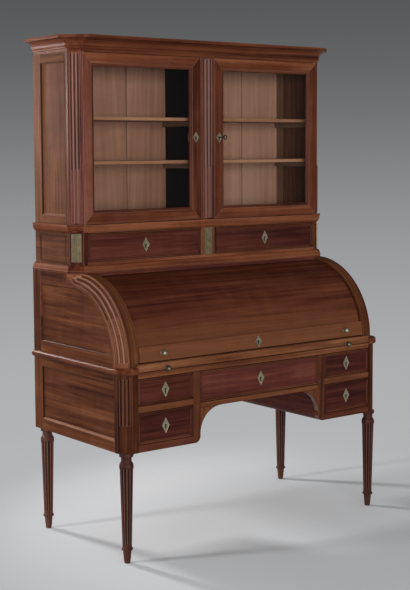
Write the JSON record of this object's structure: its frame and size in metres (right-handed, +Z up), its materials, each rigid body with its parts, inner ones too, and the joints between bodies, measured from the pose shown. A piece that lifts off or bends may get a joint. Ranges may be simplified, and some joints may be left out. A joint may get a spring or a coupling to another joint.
{
  "type": "cylinder desk",
  "caption": "Mahogany desk on turned fluted legs with a kneehole of drawers, a rolling cylinder over a writing slide, and a glazed bookcase with a drawer tier above.",
  "frame": {"origin": "On the floor, under the middle of the part's box.", "axes": "+Z up, the front with its drawers faces -Y, +X to the right of someone facing the front."},
  "size_m": [1.44, 0.691, 2.051],
  "materials": {
    "mahogany": "french polished mahogany",
    "mahogany_dark": "french polished figured mahogany",
    "plain_boards": "plain planed boards",
    "brass": "aged polished brass",
    "iron": "blackened wrought iron",
    "glass": "clear old glass",
    "leather": "tooled green leather"
  },
  "bodies": {
    "case": {"legs": "mahogany", "base_corner_posts": "mahogany", "base_side_rails": "mahogany", "base_side_panels": "mahogany", "base_back": "plain_boards", "base_front_frame": "mahogany", "kneehole_walls": "mahogany", "base_dust_boards": "plain_boards", "drawer_guides": "plain_boards", "belt_moulding": "mahogany", "roll_side_frames": "mahogany", "roll_side_panels": "mahogany", "curved_fluted_rails": "mahogany", "roll_back": "plain_boards", "roll_boards": "mahogany", "cylinder_pivots": "iron", "pigeonhole_nest": "mahogany", "tier_frame": "mahogany", "brass_plaques": "brass", "case_boards": "mahogany", "upper_posts": "mahogany", "upper_side_frames": "mahogany", "upper_side_panels": "mahogany", "upper_partition": "mahogany", "upper_back": "plain_boards", "shelves": "mahogany", "shelf_cleats": "plain_boards", "case_mouldings": "mahogany", "cornice": "mahogany"},
    "cylinder": {"cylinder_staves": "mahogany_dark", "cylinder_bottom_rail": "mahogany_dark", "cylinder_arms": "iron", "cylinder_knobs": "brass", "cylinder_lock": "brass"},
    "slide": {"writing_slide": "mahogany", "writing_leather": "leather", "slide_knobs": "brass"},
    "left_door": {"left_door_frame": "mahogany", "left_door_glass": "glass", "left_door_fittings": "brass"},
    "right_door": {"right_door_frame": "mahogany", "right_door_glass": "glass", "right_door_fittings": "brass"},
    "key": {"door_key": "brass"},
    "left_inner_drawer": {"left_inner_drawer": "mahogany"},
    "right_inner_drawer": {"right_inner_drawer": "mahogany"},
    "left_lower_drawer": {"left_lower_drawer": "mahogany_dark", "left_lower_drawer_lock": "brass"},
    "left_upper_drawer": {"left_upper_drawer": "mahogany_dark", "left_upper_drawer_lock": "brass"},
    "centre_drawer": {"centre_drawer": "mahogany_dark", "centre_drawer_lock": "brass"},
    "right_upper_drawer": {"right_upper_drawer": "mahogany_dark", "right_upper_drawer_lock": "brass"},
    "right_lower_drawer": {"right_lower_drawer": "mahogany_dark", "right_lower_drawer_lock": "brass"},
    "left_tier_drawer": {"left_tier_drawer": "mahogany_dark", "left_tier_drawer_lock": "brass"},
    "right_tier_drawer": {"right_tier_drawer": "mahogany_dark", "right_tier_drawer_lock": "brass"}
  },
  "joints": [
    {"name": "cylinder_roll", "type": "hinge", "parent": "case", "child": "cylinder", "pos_m": [0, 0.0365, 0.768], "axis": [-1, 0, 0], "range_deg": [0, 62]},
    {"name": "writing_slide_pull", "type": "slide", "parent": "case", "child": "slide", "axis": [0, -1, 0], "range_m": [0, 0.25]},
    {"name": "left_lower_drawer_pull", "type": "slide", "parent": "case", "child": "left_lower_drawer", "axis": [0, -1, 0], "range_m": [0, 0.36]},
    {"name": "left_upper_drawer_pull", "type": "slide", "parent": "case", "child": "left_upper_drawer", "axis": [0, -1, 0], "range_m": [0, 0.36]},
    {"name": "centre_drawer_pull", "type": "slide", "parent": "case", "child": "centre_drawer", "axis": [0, -1, 0], "range_m": [0, 0.36]},
    {"name": "right_upper_drawer_pull", "type": "slide", "parent": "case", "child": "right_upper_drawer", "axis": [0, -1, 0], "range_m": [0, 0.36]},
    {"name": "right_lower_drawer_pull", "type": "slide", "parent": "case", "child": "right_lower_drawer", "axis": [0, -1, 0], "range_m": [0, 0.36]},
    {"name": "left_tier_drawer_pull", "type": "slide", "parent": "case", "child": "left_tier_drawer", "axis": [0, -1, 0], "range_m": [0, 0.18]},
    {"name": "right_tier_drawer_pull", "type": "slide", "parent": "case", "child": "right_tier_drawer", "axis": [0, -1, 0], "range_m": [0, 0.18]},
    {"name": "left_door_swing", "type": "hinge", "parent": "case", "child": "left_door", "pos_m": [-0.619, 0.0435, 1.649], "axis": [0, 0, -1], "range_deg": [0, 100]},
    {"name": "left_inner_drawer_pull", "type": "slide", "parent": "case", "child": "left_inner_drawer", "axis": [0, -1, 0], "range_m": [0, 0.12]},
    {"name": "right_door_swing", "type": "hinge", "parent": "case", "child": "right_door", "pos_m": [0.619, 0.0435, 1.649], "axis": [0, 0, 1], "range_deg": [0, 100]},
    {"name": "right_inner_drawer_pull", "type": "slide", "parent": "case", "child": "right_inner_drawer", "axis": [0, -1, 0], "range_m": [0, 0.12]},
    {"name": "key_turn", "type": "hinge", "parent": "right_door", "child": "key", "pos_m": [0.063, 0, 1.64917], "axis": [0, 1, 0], "range_deg": [0, 90]}
  ]
}
